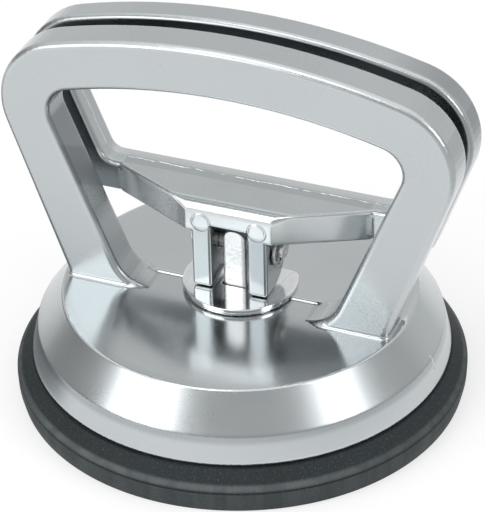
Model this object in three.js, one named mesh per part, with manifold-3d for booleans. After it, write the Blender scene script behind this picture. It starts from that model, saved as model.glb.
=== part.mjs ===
// Single-cup vacuum lifter for glass and tiles: a die-cast cup housing with a fixed D-handle, a cam
// lever behind it that pulls a draw stud, and a rubber suction pad under the housing.
// Millimetres, +Z up. The origin is the centre of the pad's underside, +X runs along the handles and
// -Y points to the user's side. The lever stands closed, with the pad's middle drawn up.

import * as THREE from "three";
import { mergeVertices } from "three/addons/utils/BufferGeometryUtils.js";
import Module from "manifold-3d";

// ---- Driving dimensions ----

// Rubber pad
const PAD_RADIUS = 59;
const PAD_RIM_HEIGHT = 6.3;
const PAD_RIM_ROUND = 0.8;
const PAD_SEAT_Z = 10.6; // ring that the housing's skirt presses on
const PAD_SEAT_MARGIN = 0.2; // the seat is this much wider than the skirt's edge
const PAD_FLOOR_TAPER = 0.8; // the lip draws in towards the glass
const PAD_FLAT_WIDTH = 11.2; // sealing band on the glass
const PAD_BEAD_HEIGHT = 2.7; // upstanding bead inside the skirt
const PAD_BEAD_WIDTH = 2.6;
const PAD_BEAD_GAP = 1.2; // bead to skirt
const PAD_BEAD_FLARE = 1.5;
const PAD_MIDDLE_THICKNESS = 5;
const PAD_MIDDLE_MARGIN = 2; // the level middle is this much wider than the insert

// Cup housing
const HOUSING_GAP = 0.3; // skirt to rubber
const PAD_OVERHANG = 4.1; // the lip stands out this far beyond the skirt
const SKIRT_FLARE = 2; // the skirt widens by this much from its shoulder down
const CONE_RUN = 7.1; // shoulder radius less plateau radius
const SHOULDER_Z = 18.7;
const SHOULDER_ROUND = 0.6;
const PLATEAU_Z = 28.7;
const PLATEAU_ROUND = 1;
const PLATEAU_STEP = 0.6; // the front half lies this much lower
const PLATEAU_STEP_INSET = 1.9; // the step lies this far in front of the handle's back
const HOUSING_WALL = 3.4;
const GUIDE_WALL = 5.7;
const GUIDE_TO_NUT = 0.9;

// Grip outline, shared by the fixed handle and the lever; rises are measured from the plateau
const GRIP_RISE = 73.2;
const GRIP_TOP_RADIUS = 179;
const GRIP_BAR_DEPTH = 13.4;
const GRIP_OUTER_CORNER = 18.7;
const GRIP_INNER_RADIUS = 161;
const GRIP_INNER_CORNER = 7;
const LEG_OUTER_LEAN = THREE.MathUtils.degToRad(19.4);
const LEG_INNER_LEAN = THREE.MathUtils.degToRad(21.8);
const LEG_FOOT_WIDTH = 15.7;
const FOOT_EDGE = 0.66; // foot corner to the plateau's edge
const FOOT_FILLET = 10;
const FOOT_TO_PLATE = 0.5; // least room between the foot's fillet and the wear plate
const FOOT_DEPTH = 8; // drawn this far below the plateau, then trimmed inside the housing's wall

// Fixed handle
const HANDLE_FRONT_Y = -11.3;
const HANDLE_THICKNESS = 10.7;
const HANDLE_EDGE = 1.8;

// Lever
const LEVER_GAP = 4.2; // between the two grips
const LEVER_THICKNESS = 8.4;
const LEVER_EDGE = 1.5;
const CROSSBAR_RISE = 17.9;
const CROSSBAR_HEIGHT = 8.6;
const CROSSBAR_HOLE_FILLET = 3.5;
const CROSSBAR_END_FILLET = 2;
const NOSE_FRONT_Y = -7.5;
const NOSE_OVERHANG = 1.4; // the nose is this much wider than the cheeks on each side
const NOSE_ROOT_INSET = 1; // the nose starts this far inside the leg line
const NOSE_BEVEL_Y = 2.1;
const NOSE_BEVEL_Z = 1.6;
const CHEEK_THICKNESS = 5.3;
const CHEEK_CORNER = 0.6;
const CHEEK_SLOT_RISE = 2.3; // the slot between the cheeks runs this far up into the crossbar
const EJECTOR_RADIUS = 2.7;
const EJECTOR_HEIGHT = 0.3;
const EJECTOR_RISE = 3.1; // centre of an ejector mark above the crossbar's bottom

// Cam action
const LEVER_SWING = THREE.MathUtils.degToRad(65);
const STUD_TRAVEL = 3.5;
const CAM_GAP = 0.3; // cheek to wear plate at rest
const CAM_SLACK = 0.1; // smallest gap along the cam curve

// Pivot pin, clips
const PIN_RADIUS = 2.5;
const PIN_RISE = 12.5;
const PIN_CLEARANCE = 0.15;
const PIN_OVERHANG = 2.4;
const CLIP_FLANGE = 2.1; // the clip stands this far out beyond the pin
const CLIP_THICKNESS = 0.8;
const CLIP_GAP = 0.3; // clip to cheek
const CLIP_MOUTH = 3.2;
const GROOVE_DEPTH = 0.5;
const GROOVE_CLEARANCE = 0.05;

// Wear plate
const PLATE_RADIUS = 15;
const PLATE_THICKNESS = 1.2;
const PLATE_CUT_Y = 7.5;

// Draw stud
const STUD_RADIUS = 5;
const STUD_CLEARANCE = 0.3;
const STUD_HALF_WIDTH = 3.2; // flattened eye, across the cheeks
const STUD_HALF_DEPTH = 4.1; // and from front to back
const STUD_SIDE_GAP = 1.7; // flattened eye to each cheek
const STUD_EYE_WALL = 2.55; // metal over the pin's bore
const STUD_CROWN = 2.4;
const STUD_FLATS_DEPTH = 4.7; // the flats run this far below the plateau
const STUD_SHANK_RADIUS = 4;
const STUD_SHANK_GAP = 0.5; // shank end above the rubber

// Pad insert and jam nut
const INSERT_RADIUS = 28;
const INSERT_THICKNESS = 2;
const INSERT_HUB_RADIUS = 9;
const INSERT_HUB_HEIGHT = 4.5;
const THREAD_CLEARANCE = 0.15;
const NUT_ACROSS_FLATS = 13;
const NUT_HEIGHT = 4.6;
const NUT_TO_SHOULDER = 0.3;

// Facets
const ROUND_LARGE = 72;
const ROUND_SMALL = 32;
const ROUND_TINY = 24;
const CURVE_STEPS = 7;
const SHORTEST_EDGE = 0.01;
const CUT_MARGIN = 1; // cutting tools run this far past what they cut

// ---- Sizes that follow ----

const HOUSING_BOTTOM_Z = PAD_SEAT_Z + HOUSING_GAP;
const SKIRT_RADIUS = PAD_RADIUS - PAD_OVERHANG;
const SHOULDER_RADIUS = SKIRT_RADIUS - SKIRT_FLARE;
const PLATEAU_RADIUS = SHOULDER_RADIUS - CONE_RUN;
const FRONT_PLATEAU_Z = PLATEAU_Z - PLATEAU_STEP;
const BORE_RADIUS = STUD_RADIUS + STUD_CLEARANCE;
const GRIP_TOP_Z = PLATEAU_Z + GRIP_RISE;
const GRIP_HOLE_TOP_Z = GRIP_TOP_Z - GRIP_BAR_DEPTH;
const LEG_OUTER_FOOT_X = Math.sqrt((PLATEAU_RADIUS - FOOT_EDGE) ** 2 - HANDLE_FRONT_Y ** 2);
const LEG_INNER_FOOT_X = LEG_OUTER_FOOT_X - LEG_FOOT_WIDTH;
const HANDLE_BACK_Y = HANDLE_FRONT_Y + HANDLE_THICKNESS;
const PLATEAU_STEP_Y = HANDLE_BACK_Y - PLATEAU_STEP_INSET;
const LEVER_FRONT_Y = HANDLE_BACK_Y + LEVER_GAP;
const LEVER_BACK_Y = LEVER_FRONT_Y + LEVER_THICKNESS;
const CROSSBAR_BOTTOM_Z = PLATEAU_Z + CROSSBAR_RISE;
const CROSSBAR_TOP_Z = CROSSBAR_BOTTOM_Z + CROSSBAR_HEIGHT;
const CHEEK_INNER_X = STUD_HALF_WIDTH + STUD_SIDE_GAP;
const CHEEK_OUTER_X = CHEEK_INNER_X + CHEEK_THICKNESS;
const NOSE_HALF_WIDTH = CHEEK_OUTER_X + NOSE_OVERHANG;
const PLATE_TOP_Z = PLATEAU_Z + PLATE_THICKNESS;
const CHEEK_BOTTOM_Z = PLATE_TOP_Z + CAM_GAP;
const CAM_LIFT_RATE = STUD_TRAVEL / LEVER_SWING; // mm of stud travel for each radian
const PIN_Z = PLATEAU_Z + PIN_RISE;
const STUD_TOP_Z = PIN_Z + PIN_RADIUS + PIN_CLEARANCE + STUD_EYE_WALL;
const STUD_FLATS_Z = PLATEAU_Z - STUD_FLATS_DEPTH;
const PAD_MIDDLE_Z = STUD_TRAVEL; // underside of the pad's middle while it is drawn up
const PAD_MIDDLE_TOP_Z = PAD_MIDDLE_Z + PAD_MIDDLE_THICKNESS;
const PAD_MIDDLE_RADIUS = INSERT_RADIUS + PAD_MIDDLE_MARGIN;
const HUB_TOP_Z = PAD_MIDDLE_TOP_Z + INSERT_THICKNESS + INSERT_HUB_HEIGHT;
const NUT_TOP_Z = HUB_TOP_Z + NUT_HEIGHT;
const STUD_SHOULDER_Z = NUT_TOP_Z + NUT_TO_SHOULDER;
const GUIDE_BOTTOM_Z = NUT_TOP_Z + GUIDE_TO_NUT;
const CLIP_RADIUS = PIN_RADIUS + CLIP_FLANGE;
const CLIP_INNER_X = CHEEK_OUTER_X + CLIP_GAP;
const EJECTOR_X = CHEEK_INNER_X + CHEEK_THICKNESS / 2;

// ---- Solid helpers ----

const wasm = await Module();
wasm.setup();

function solid(geometry) {
  const bare = geometry.clone();
  bare.deleteAttribute("normal");
  bare.deleteAttribute("uv");
  const merged = mergeVertices(bare, 1e-4);
  const corners = merged.index.array;
  const kept = [];
  for (let i = 0; i < corners.length; i += 3) {
    const [a, b, c] = [corners[i], corners[i + 1], corners[i + 2]];
    if (a !== b && b !== c && c !== a) kept.push(a, b, c);
  }
  return new wasm.Manifold(
    new wasm.Mesh({
      numProp: 3,
      vertProperties: new Float32Array(merged.attributes.position.array),
      triVerts: new Uint32Array(kept),
    }),
  );
}

function geometryOf(manifold) {
  const mesh = manifold.getMesh();
  const geometry = new THREE.BufferGeometry();
  geometry.setAttribute("position", new THREE.BufferAttribute(mesh.vertProperties, 3));
  geometry.setIndex(new THREE.BufferAttribute(mesh.triVerts, 1));
  return geometry;
}

// A closed [radius, z] profile turned about Z. The profile runs anticlockwise.
function turned(profile, facets) {
  const points = profile.map(([r, z]) => new THREE.Vector2(r, z));
  if (profile[0][0] > 0) points.push(points[0].clone());
  return solid(new THREE.LatheGeometry(points, facets).rotateX(Math.PI / 2));
}

// The outline's points, without those that two joining curves share.
function spaced(points) {
  return points.filter((point, i) => point.distanceTo(points.at(i - 1)) > SHORTEST_EDGE);
}

// A shape drawn in X and Z, from frontY backwards by depth, with its front and back edges rounded.
function slab(outline, frontY, depth, edge = 0) {
  const { shape: rim, holes } = outline.extractPoints(CURVE_STEPS);
  const shape = new THREE.Shape(spaced(rim));
  shape.holes = holes.map((hole) => new THREE.Path(spaced(hole)));
  const geometry = new THREE.ExtrudeGeometry(shape, {
    depth: depth - 2 * edge,
    bevelEnabled: edge > 0,
    bevelSize: edge,
    bevelThickness: edge,
    bevelOffset: -edge,
    bevelSegments: 2,
  });
  return solid(geometry.rotateX(Math.PI / 2).translate(0, frontY + depth - edge, 0));
}

// A shape drawn in Y and Z, from x0 to x1.
function acrossX(shape, x0, x1) {
  const geometry = new THREE.ExtrudeGeometry(shape, { depth: x1 - x0, bevelEnabled: false });
  const toYZ = new THREE.Matrix4().makeBasis(
    new THREE.Vector3(0, 1, 0),
    new THREE.Vector3(0, 0, 1),
    new THREE.Vector3(1, 0, 0),
  );
  return solid(geometry.applyMatrix4(toYZ).translate(x0, 0, 0));
}

function polygon(corners) {
  return new THREE.Shape(corners.map(([a, b]) => new THREE.Vector2(a, b)));
}

function box(x0, x1, y0, y1, z0, z1) {
  const geometry = new THREE.BoxGeometry(x1 - x0, y1 - y0, z1 - z0);
  return solid(geometry.translate((x0 + x1) / 2, (y0 + y1) / 2, (z0 + z1) / 2));
}

function rodX(radius, x0, x1, y, z) {
  const geometry = new THREE.CylinderGeometry(radius, radius, x1 - x0, ROUND_SMALL);
  return solid(geometry.rotateZ(Math.PI / 2).translate((x0 + x1) / 2, y, z));
}

function rodZ(radius, z0, z1, facets = ROUND_SMALL) {
  const geometry = new THREE.CylinderGeometry(radius, radius, z1 - z0, facets);
  return solid(geometry.rotateX(Math.PI / 2).translate(0, 0, (z0 + z1) / 2));
}

// ---- Grip outline ----

// One side of an arch: a leg line leaning outwards from its foot, a round corner, and the bowed top.
function archSide({ topZ, topRadius, footX, lean, corner }) {
  const centreZ = topZ - topRadius;
  const [ux, uz] = [Math.sin(lean), Math.cos(lean)];
  const startX = footX - uz * corner;
  const startZ = PLATEAU_Z + ux * corner - centreZ;
  const along = startX * ux + startZ * uz;
  const reach = (topRadius - corner) ** 2 - (startX ** 2 + startZ ** 2 - along ** 2);
  const travel = Math.sqrt(reach) - along;
  const cornerX = startX + ux * travel;
  const cornerZ = startZ + uz * travel + centreZ;
  const topAngle = Math.atan2(cornerZ - centreZ, cornerX);
  const legX = (z) => footX + (z - PLATEAU_Z) * Math.tan(lean);
  return { centreZ, topRadius, lean, corner, cornerX, cornerZ, topAngle, legX };
}

const OUTER = archSide({
  topZ: GRIP_TOP_Z,
  topRadius: GRIP_TOP_RADIUS,
  footX: LEG_OUTER_FOOT_X,
  lean: LEG_OUTER_LEAN,
  corner: GRIP_OUTER_CORNER,
});
const INNER = archSide({
  topZ: GRIP_HOLE_TOP_Z,
  topRadius: GRIP_INNER_RADIUS,
  footX: LEG_INNER_FOOT_X,
  lean: LEG_INNER_LEAN,
  corner: GRIP_INNER_CORNER,
});

// Runs from the right leg over the top to the left leg.
function overTheTop(path, side) {
  const { centreZ, topRadius, lean, corner, cornerX, cornerZ, topAngle } = side;
  path.absarc(cornerX, cornerZ, corner, -lean, topAngle, false);
  path.absarc(0, centreZ, topRadius, topAngle, Math.PI - topAngle, false);
  path.absarc(-cornerX, cornerZ, corner, Math.PI - topAngle, Math.PI + lean, false);
}

// Runs back from the left leg over the top to the right leg.
function backOverTheTop(path, side) {
  const { centreZ, topRadius, lean, corner, cornerX, cornerZ, topAngle } = side;
  path.absarc(-cornerX, cornerZ, corner, Math.PI + lean, Math.PI - topAngle, true);
  path.absarc(0, centreZ, topRadius, Math.PI - topAngle, topAngle, true);
  path.absarc(cornerX, cornerZ, corner, topAngle, -lean, true);
}

// The foot's inner fillet, no larger than the room beside the wear plate allows.
function footFillet() {
  const room = LEG_INNER_FOOT_X - PLATE_RADIUS - FOOT_TO_PLATE;
  return Math.min(FOOT_FILLET, room / Math.tan(Math.PI / 4 - LEG_INNER_LEAN / 2));
}

// Centre of a fillet between a leg line and a level line at z; insideX is -1 towards the middle.
function legFillet(side, z, radius, insideX) {
  const shift = (radius / Math.cos(side.lean)) * insideX;
  return { x: side.legX(z + radius) + shift, z: z + radius };
}

// ---- Cup housing with the fixed handle, one casting ----

function housingShell() {
  const coneDrop = PLATEAU_Z - SHOULDER_Z;
  const coneLean = Math.hypot(CONE_RUN, coneDrop) / coneDrop;
  const ceilingZ = PLATEAU_Z - HOUSING_WALL;
  const wallAcross = HOUSING_WALL * coneLean; // the cone's wall, measured level
  const half = PLATEAU_ROUND / 2;
  return turned(
    [
      [BORE_RADIUS, GUIDE_BOTTOM_Z],
      [BORE_RADIUS + GUIDE_WALL, GUIDE_BOTTOM_Z],
      [BORE_RADIUS + GUIDE_WALL, ceilingZ],
      [PLATEAU_RADIUS - wallAcross / 2, ceilingZ],
      [SHOULDER_RADIUS - wallAcross, SHOULDER_Z],
      [SKIRT_RADIUS - HOUSING_WALL, HOUSING_BOTTOM_Z],
      [SKIRT_RADIUS, HOUSING_BOTTOM_Z],
      [SHOULDER_RADIUS + SHOULDER_ROUND / 4, SHOULDER_Z - SHOULDER_ROUND],
      [SHOULDER_RADIUS - SHOULDER_ROUND / 2, SHOULDER_Z + SHOULDER_ROUND],
      [PLATEAU_RADIUS + (half * CONE_RUN) / coneDrop, PLATEAU_Z - half],
      [PLATEAU_RADIUS - half, PLATEAU_Z - PLATEAU_ROUND / 10],
      [PLATEAU_RADIUS - PLATEAU_ROUND, PLATEAU_Z],
      [BORE_RADIUS, PLATEAU_Z],
    ],
    ROUND_LARGE,
  );
}

// The handle's arch, with its feet sunk into the housing's top wall and rounded towards the middle.
function handleArch() {
  const footZ = PLATEAU_Z - FOOT_DEPTH;
  const radius = footFillet();
  const fillet = legFillet(INNER, FRONT_PLATEAU_Z, radius, -1);
  const shape = new THREE.Shape();
  shape.moveTo(fillet.x, footZ);
  shape.lineTo(OUTER.legX(footZ), footZ);
  overTheTop(shape, OUTER);
  shape.lineTo(-OUTER.legX(footZ), footZ);
  shape.lineTo(-fillet.x, footZ);
  shape.absarc(-fillet.x, fillet.z, radius, -Math.PI / 2, -Math.PI + LEG_INNER_LEAN, true);
  backOverTheTop(shape, INNER);
  shape.absarc(fillet.x, fillet.z, radius, -LEG_INNER_LEAN, -Math.PI / 2, true);
  const sunkTo = PLATEAU_Z - HOUSING_WALL / 2;
  return slab(shape, HANDLE_FRONT_Y, HANDLE_THICKNESS, HANDLE_EDGE).trimByPlane([0, 0, 1], sunkTo);
}

function housing() {
  const reach = PLATEAU_RADIUS + CUT_MARGIN;
  const above = PLATEAU_Z + CUT_MARGIN;
  const frontStep = box(-reach, reach, -reach, PLATEAU_STEP_Y, FRONT_PLATEAU_Z, above);
  return housingShell().subtract(frontStep).add(handleArch());
}

// ---- Lever: grip loop, crossbar with a nose, and two cam cheeks, one casting ----

function leverLoop() {
  const end = legFillet(OUTER, CROSSBAR_BOTTOM_Z, CROSSBAR_END_FILLET, -1);
  const hole = legFillet(INNER, CROSSBAR_TOP_Z, CROSSBAR_HOLE_FILLET, -1);
  const shape = new THREE.Shape();
  shape.absarc(end.x, end.z, CROSSBAR_END_FILLET, -Math.PI / 2, -LEG_OUTER_LEAN, false);
  overTheTop(shape, OUTER);
  shape.absarc(-end.x, end.z, CROSSBAR_END_FILLET, Math.PI + LEG_OUTER_LEAN, 1.5 * Math.PI, false);
  const opening = new THREE.Path();
  opening.absarc(hole.x, hole.z, CROSSBAR_HOLE_FILLET, -Math.PI / 2, -LEG_INNER_LEAN, false);
  overTheTop(opening, INNER);
  opening.absarc(
    -hole.x, hole.z, CROSSBAR_HOLE_FILLET, Math.PI + LEG_INNER_LEAN, 1.5 * Math.PI, false,
  );
  shape.holes.push(opening);
  return slab(shape, LEVER_FRONT_Y, LEVER_THICKNESS, LEVER_EDGE);
}

// The crossbar widens forwards to a nose over the cheeks; its top front edge has a broad bevel.
function crossbarNose() {
  const backY = LEVER_BACK_Y - LEVER_EDGE;
  const rootX = INNER.legX(CROSSBAR_BOTTOM_Z) - NOSE_ROOT_INSET;
  const plan = polygon([
    [-rootX, backY],
    [-rootX, LEVER_FRONT_Y],
    [-NOSE_HALF_WIDTH, NOSE_FRONT_Y],
    [NOSE_HALF_WIDTH, NOSE_FRONT_Y],
    [rootX, LEVER_FRONT_Y],
    [rootX, backY],
  ]);
  const block = new THREE.ExtrudeGeometry(plan, { depth: CROSSBAR_HEIGHT, bevelEnabled: false });
  const over = 3; // the bevel's cutter, in bevel lengths beyond each edge
  const bevel = polygon([
    [NOSE_FRONT_Y - NOSE_BEVEL_Y * over, CROSSBAR_TOP_Z - NOSE_BEVEL_Z * (1 + over)],
    [NOSE_FRONT_Y + NOSE_BEVEL_Y * (1 + over), CROSSBAR_TOP_Z + NOSE_BEVEL_Z * over],
    [NOSE_FRONT_Y - NOSE_BEVEL_Y * over, CROSSBAR_TOP_Z + NOSE_BEVEL_Z * over],
  ]);
  return solid(block.translate(0, 0, CROSSBAR_BOTTOM_Z)).subtract(acrossX(bevel, -rootX, rootX));
}

// Cam outline in Y and Z: a flat that stands on the wear plate when closed, then a curve whose
// reach below the pin shrinks evenly as the lever swings back, so that the stud comes down evenly.
function cheekProfile() {
  const flatReach = PIN_Z - CHEEK_BOTTOM_Z;
  const startReach = flatReach + CAM_GAP - CAM_SLACK;
  const upToZ = CROSSBAR_BOTTOM_Z + CHEEK_SLOT_RISE;
  const curve = [];
  for (let i = 0; i <= CURVE_STEPS; i++) {
    const turn = (i / CURVE_STEPS) * (Math.PI / 2);
    const reach = startReach - CAM_LIFT_RATE * turn;
    const y = reach * Math.sin(turn) - CAM_LIFT_RATE * Math.cos(turn);
    const z = PIN_Z - reach * Math.cos(turn) - CAM_LIFT_RATE * Math.sin(turn);
    if (z > CHEEK_BOTTOM_Z) curve.push([y, z]);
  }
  return polygon([
    [NOSE_FRONT_Y, upToZ],
    [NOSE_FRONT_Y, CHEEK_BOTTOM_Z + CHEEK_CORNER],
    [NOSE_FRONT_Y + CHEEK_CORNER, CHEEK_BOTTOM_Z],
    [curve[0][0] - CHEEK_CORNER, CHEEK_BOTTOM_Z],
    ...curve,
    [curve.at(-1)[0], upToZ],
  ]);
}

function lever() {
  const profile = cheekProfile();
  const slotTop = CROSSBAR_BOTTOM_Z + CHEEK_SLOT_RISE;
  const slot = box(
    -CHEEK_INNER_X, CHEEK_INNER_X,
    NOSE_FRONT_Y - CUT_MARGIN, LEVER_BACK_Y + CUT_MARGIN,
    CHEEK_BOTTOM_Z - CUT_MARGIN, slotTop,
  );
  let body = leverLoop().add(crossbarNose()).subtract(slot);
  const boreEnd = CHEEK_OUTER_X + CUT_MARGIN;
  const bore = rodX(PIN_RADIUS + PIN_CLEARANCE, -boreEnd, boreEnd, 0, PIN_Z);
  const sunk = 2 * EJECTOR_HEIGHT;
  const mark = new THREE.CylinderGeometry(EJECTOR_RADIUS, EJECTOR_RADIUS, sunk, ROUND_TINY);
  for (const side of [-1, 1]) {
    const ends = [side * CHEEK_INNER_X, side * CHEEK_OUTER_X].sort((a, b) => a - b);
    const place = [side * EJECTOR_X, NOSE_FRONT_Y, CROSSBAR_BOTTOM_Z + EJECTOR_RISE];
    body = body.add(acrossX(profile, ...ends)).add(solid(mark.clone().translate(...place)));
  }
  return body.subtract(bore);
}

// ---- Wear plate: a steel disc under the cams, cut straight at the back ----

function wearPlate() {
  const below = PLATEAU_Z - CUT_MARGIN;
  const above = PLATE_TOP_Z + CUT_MARGIN;
  const halfWidth = STUD_HALF_WIDTH + STUD_CLEARANCE;
  const halfDepth = STUD_HALF_DEPTH + STUD_CLEARANCE;
  const hole = box(-halfWidth, halfWidth, -halfDepth, halfDepth, below, above);
  const outside = PLATE_RADIUS + CUT_MARGIN;
  const behind = box(-outside, outside, PLATE_CUT_Y, outside, below, above);
  return rodZ(PLATE_RADIUS, PLATEAU_Z, PLATE_TOP_Z, ROUND_LARGE).subtract(hole).subtract(behind);
}

// ---- Draw stud: round bar with a flattened, crowned eye at the top and a thinner shank ----

function drawStud() {
  const bar = rodZ(STUD_RADIUS, STUD_SHOULDER_Z, STUD_TOP_Z);
  const eye = new THREE.Shape();
  const crownZ = STUD_TOP_Z - STUD_CROWN;
  eye.moveTo(-STUD_HALF_WIDTH, STUD_FLATS_Z);
  eye.lineTo(STUD_HALF_WIDTH, STUD_FLATS_Z);
  eye.lineTo(STUD_HALF_WIDTH, crownZ);
  eye.absellipse(0, crownZ, STUD_HALF_WIDTH, STUD_CROWN, 0, Math.PI, false);
  const outside = STUD_RADIUS + CUT_MARGIN;
  const flattened = slab(eye, -STUD_HALF_DEPTH, 2 * STUD_HALF_DEPTH);
  const below = rodZ(outside, STUD_SHOULDER_Z - CUT_MARGIN, STUD_FLATS_Z);
  const shankEnd = PAD_MIDDLE_TOP_Z + STUD_SHANK_GAP;
  const shank = rodZ(STUD_SHANK_RADIUS, shankEnd, STUD_SHOULDER_Z + CUT_MARGIN);
  const bore = rodX(PIN_RADIUS + PIN_CLEARANCE, -STUD_RADIUS, STUD_RADIUS, 0, PIN_Z);
  return bar.intersect(flattened.add(below)).add(shank).subtract(bore);
}

// ---- Pivot pin with a clip groove near each end ----

function pivotPin() {
  const end = CHEEK_OUTER_X + PIN_OVERHANG;
  let pin = rodX(PIN_RADIUS, -end, end, 0, PIN_Z);
  const waist = PIN_RADIUS - GROOVE_DEPTH;
  for (const side of [-1, 1]) {
    const near = CLIP_INNER_X - GROOVE_CLEARANCE;
    const far = CLIP_INNER_X + CLIP_THICKNESS + GROOVE_CLEARANCE;
    const [x0, x1] = side > 0 ? [near, far] : [-far, -near];
    const sleeve = rodX(PIN_RADIUS + CUT_MARGIN, x0, x1, 0, PIN_Z);
    pin = pin.subtract(sleeve.subtract(rodX(waist, x0 - CUT_MARGIN, x1 + CUT_MARGIN, 0, PIN_Z)));
  }
  return pin;
}

// ---- Retaining clip: a flat spring ring with a mouth, pushed on from the back ----

function retainingClip(side) {
  const inner = CLIP_INNER_X;
  const outer = CLIP_INNER_X + CLIP_THICKNESS;
  const [x0, x1] = side > 0 ? [inner, outer] : [-outer, -inner];
  const seat = PIN_RADIUS - GROOVE_DEPTH + PIN_CLEARANCE;
  const half = CLIP_MOUTH / 2;
  const [from, to] = [x0 - CUT_MARGIN, x1 + CUT_MARGIN];
  const mouth = box(from, to, 0, CLIP_RADIUS + CUT_MARGIN, PIN_Z - half, PIN_Z + half);
  return rodX(CLIP_RADIUS, x0, x1, 0, PIN_Z).subtract(rodX(seat, from, to, 0, PIN_Z)).subtract(mouth);
}

// ---- Pad insert: steel disc bonded to the rubber, with a threaded hub for the stud ----

function padInsert() {
  const bore = STUD_SHANK_RADIUS + THREAD_CLEARANCE;
  const plateTop = PAD_MIDDLE_TOP_Z + INSERT_THICKNESS;
  return turned(
    [
      [bore, PAD_MIDDLE_TOP_Z],
      [INSERT_RADIUS, PAD_MIDDLE_TOP_Z],
      [INSERT_RADIUS, plateTop],
      [INSERT_HUB_RADIUS, plateTop],
      [INSERT_HUB_RADIUS, HUB_TOP_Z],
      [bore, HUB_TOP_Z],
    ],
    ROUND_SMALL,
  );
}

// ---- Jam nut on the stud's shank ----

function jamNut() {
  const corner = NUT_ACROSS_FLATS / Math.sqrt(3);
  const threadRadius = STUD_SHANK_RADIUS + THREAD_CLEARANCE;
  const hole = rodZ(threadRadius, HUB_TOP_Z - CUT_MARGIN, NUT_TOP_Z + CUT_MARGIN);
  return rodZ(corner, HUB_TOP_Z, NUT_TOP_Z, 6).subtract(hole);
}

// ---- Rubber pad: sealing lip, seat for the housing's skirt, bead inside it, and a thinner middle ----

function rubberPad() {
  const floorRadius = PAD_RADIUS - PAD_FLOOR_TAPER;
  const flatInner = floorRadius - PAD_FLAT_WIDTH;
  const seatOuter = SKIRT_RADIUS + PAD_SEAT_MARGIN;
  const beadOuter = SKIRT_RADIUS - HOUSING_WALL - PAD_BEAD_GAP;
  const beadInner = beadOuter - PAD_BEAD_WIDTH;
  const beadTop = PAD_SEAT_Z + PAD_BEAD_HEIGHT;
  const profile = [[0, PAD_MIDDLE_Z]];
  for (let i = 0; i <= CURVE_STEPS; i++) {
    const share = i / CURVE_STEPS;
    const r = THREE.MathUtils.lerp(PAD_MIDDLE_RADIUS, flatInner, share);
    profile.push([r, (PAD_MIDDLE_Z * (1 + Math.cos(Math.PI * share))) / 2]);
  }
  profile.push(
    [floorRadius, 0],
    [PAD_RADIUS, PAD_RIM_HEIGHT - PAD_RIM_ROUND],
    [PAD_RADIUS - PAD_RIM_ROUND / 2, PAD_RIM_HEIGHT],
    [seatOuter, PAD_SEAT_Z],
    [beadOuter, PAD_SEAT_Z],
    [beadOuter, beadTop],
    [beadInner, beadTop],
    [beadInner - PAD_BEAD_FLARE, PAD_MIDDLE_TOP_Z],
    [0, PAD_MIDDLE_TOP_Z],
  );
  return turned(profile, ROUND_LARGE);
}

// ---- Assembly ----

const CAST_ALUMINIUM = { color: 0xb4bbbd, roughness: 0.35, metalness: 0.85 };
const POLISHED_STEEL = { color: 0xd4d8da, roughness: 0.12, metalness: 1 };
const ZINC_STEEL = { color: 0xa9adab, roughness: 0.35, metalness: 1 };
const DARK_SPRING_STEEL = { color: 0x3a3f41, roughness: 0.45, metalness: 0.9 };
const RUBBER = { color: 0x2e3436, roughness: 0.85, metalness: 0 };

function piece(name, manifold, finish) {
  const mesh = new THREE.Mesh(geometryOf(manifold), new THREE.MeshStandardMaterial(finish));
  mesh.name = name;
  return mesh;
}

const lifter = new THREE.Group();
lifter.add(
  piece("cup_housing", housing(), CAST_ALUMINIUM),
  piece("cam_lever", lever(), CAST_ALUMINIUM),
  piece("wear_plate", wearPlate(), POLISHED_STEEL),
  piece("draw_stud", drawStud(), POLISHED_STEEL),
  piece("pivot_pin", pivotPin(), ZINC_STEEL),
  piece("retaining_clip_left", retainingClip(-1), DARK_SPRING_STEEL),
  piece("retaining_clip_right", retainingClip(1), DARK_SPRING_STEEL),
  piece("pad_insert", padInsert(), ZINC_STEEL),
  piece("jam_nut", jamNut(), ZINC_STEEL),
  piece("rubber_pad", rubberPad(), RUBBER),
);

export default lifter;
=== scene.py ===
from math import acos, atan2, cos, pi, radians, sin, sqrt, tan
import bmesh
import bpy
import numpy as np
from mathutils import Matrix, Vector


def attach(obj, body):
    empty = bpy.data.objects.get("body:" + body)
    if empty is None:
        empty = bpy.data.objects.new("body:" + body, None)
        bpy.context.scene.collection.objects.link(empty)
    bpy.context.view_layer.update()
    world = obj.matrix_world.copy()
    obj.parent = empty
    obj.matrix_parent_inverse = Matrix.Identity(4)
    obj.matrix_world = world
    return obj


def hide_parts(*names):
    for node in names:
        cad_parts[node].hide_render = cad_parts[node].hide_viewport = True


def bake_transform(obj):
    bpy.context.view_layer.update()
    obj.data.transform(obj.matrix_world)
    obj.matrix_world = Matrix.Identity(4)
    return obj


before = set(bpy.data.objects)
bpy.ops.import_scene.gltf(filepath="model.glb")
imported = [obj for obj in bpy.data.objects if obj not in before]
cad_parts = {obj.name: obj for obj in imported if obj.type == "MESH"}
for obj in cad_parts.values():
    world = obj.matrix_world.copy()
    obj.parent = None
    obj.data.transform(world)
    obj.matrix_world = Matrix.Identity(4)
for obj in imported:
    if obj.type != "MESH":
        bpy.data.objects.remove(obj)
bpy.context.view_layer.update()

# ---- Viewpoint ----
# A long lens looks down on the lifter from its front right, a little off level.

VIEW_AZIMUTH = radians(22.12)
VIEW_ELEVATION = radians(33.96)
VIEW_ROLL = radians(-1.36)
VIEW_DISTANCE = 0.675
VIEW_CENTRE = Vector((0, 0, 0.040))
VIEW_OFFSET = (0.00062, -0.00297)  # to the right and up from the centre
LENS_FOCAL_IN_SENSORS = 5.15855
SENSOR = 36

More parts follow.
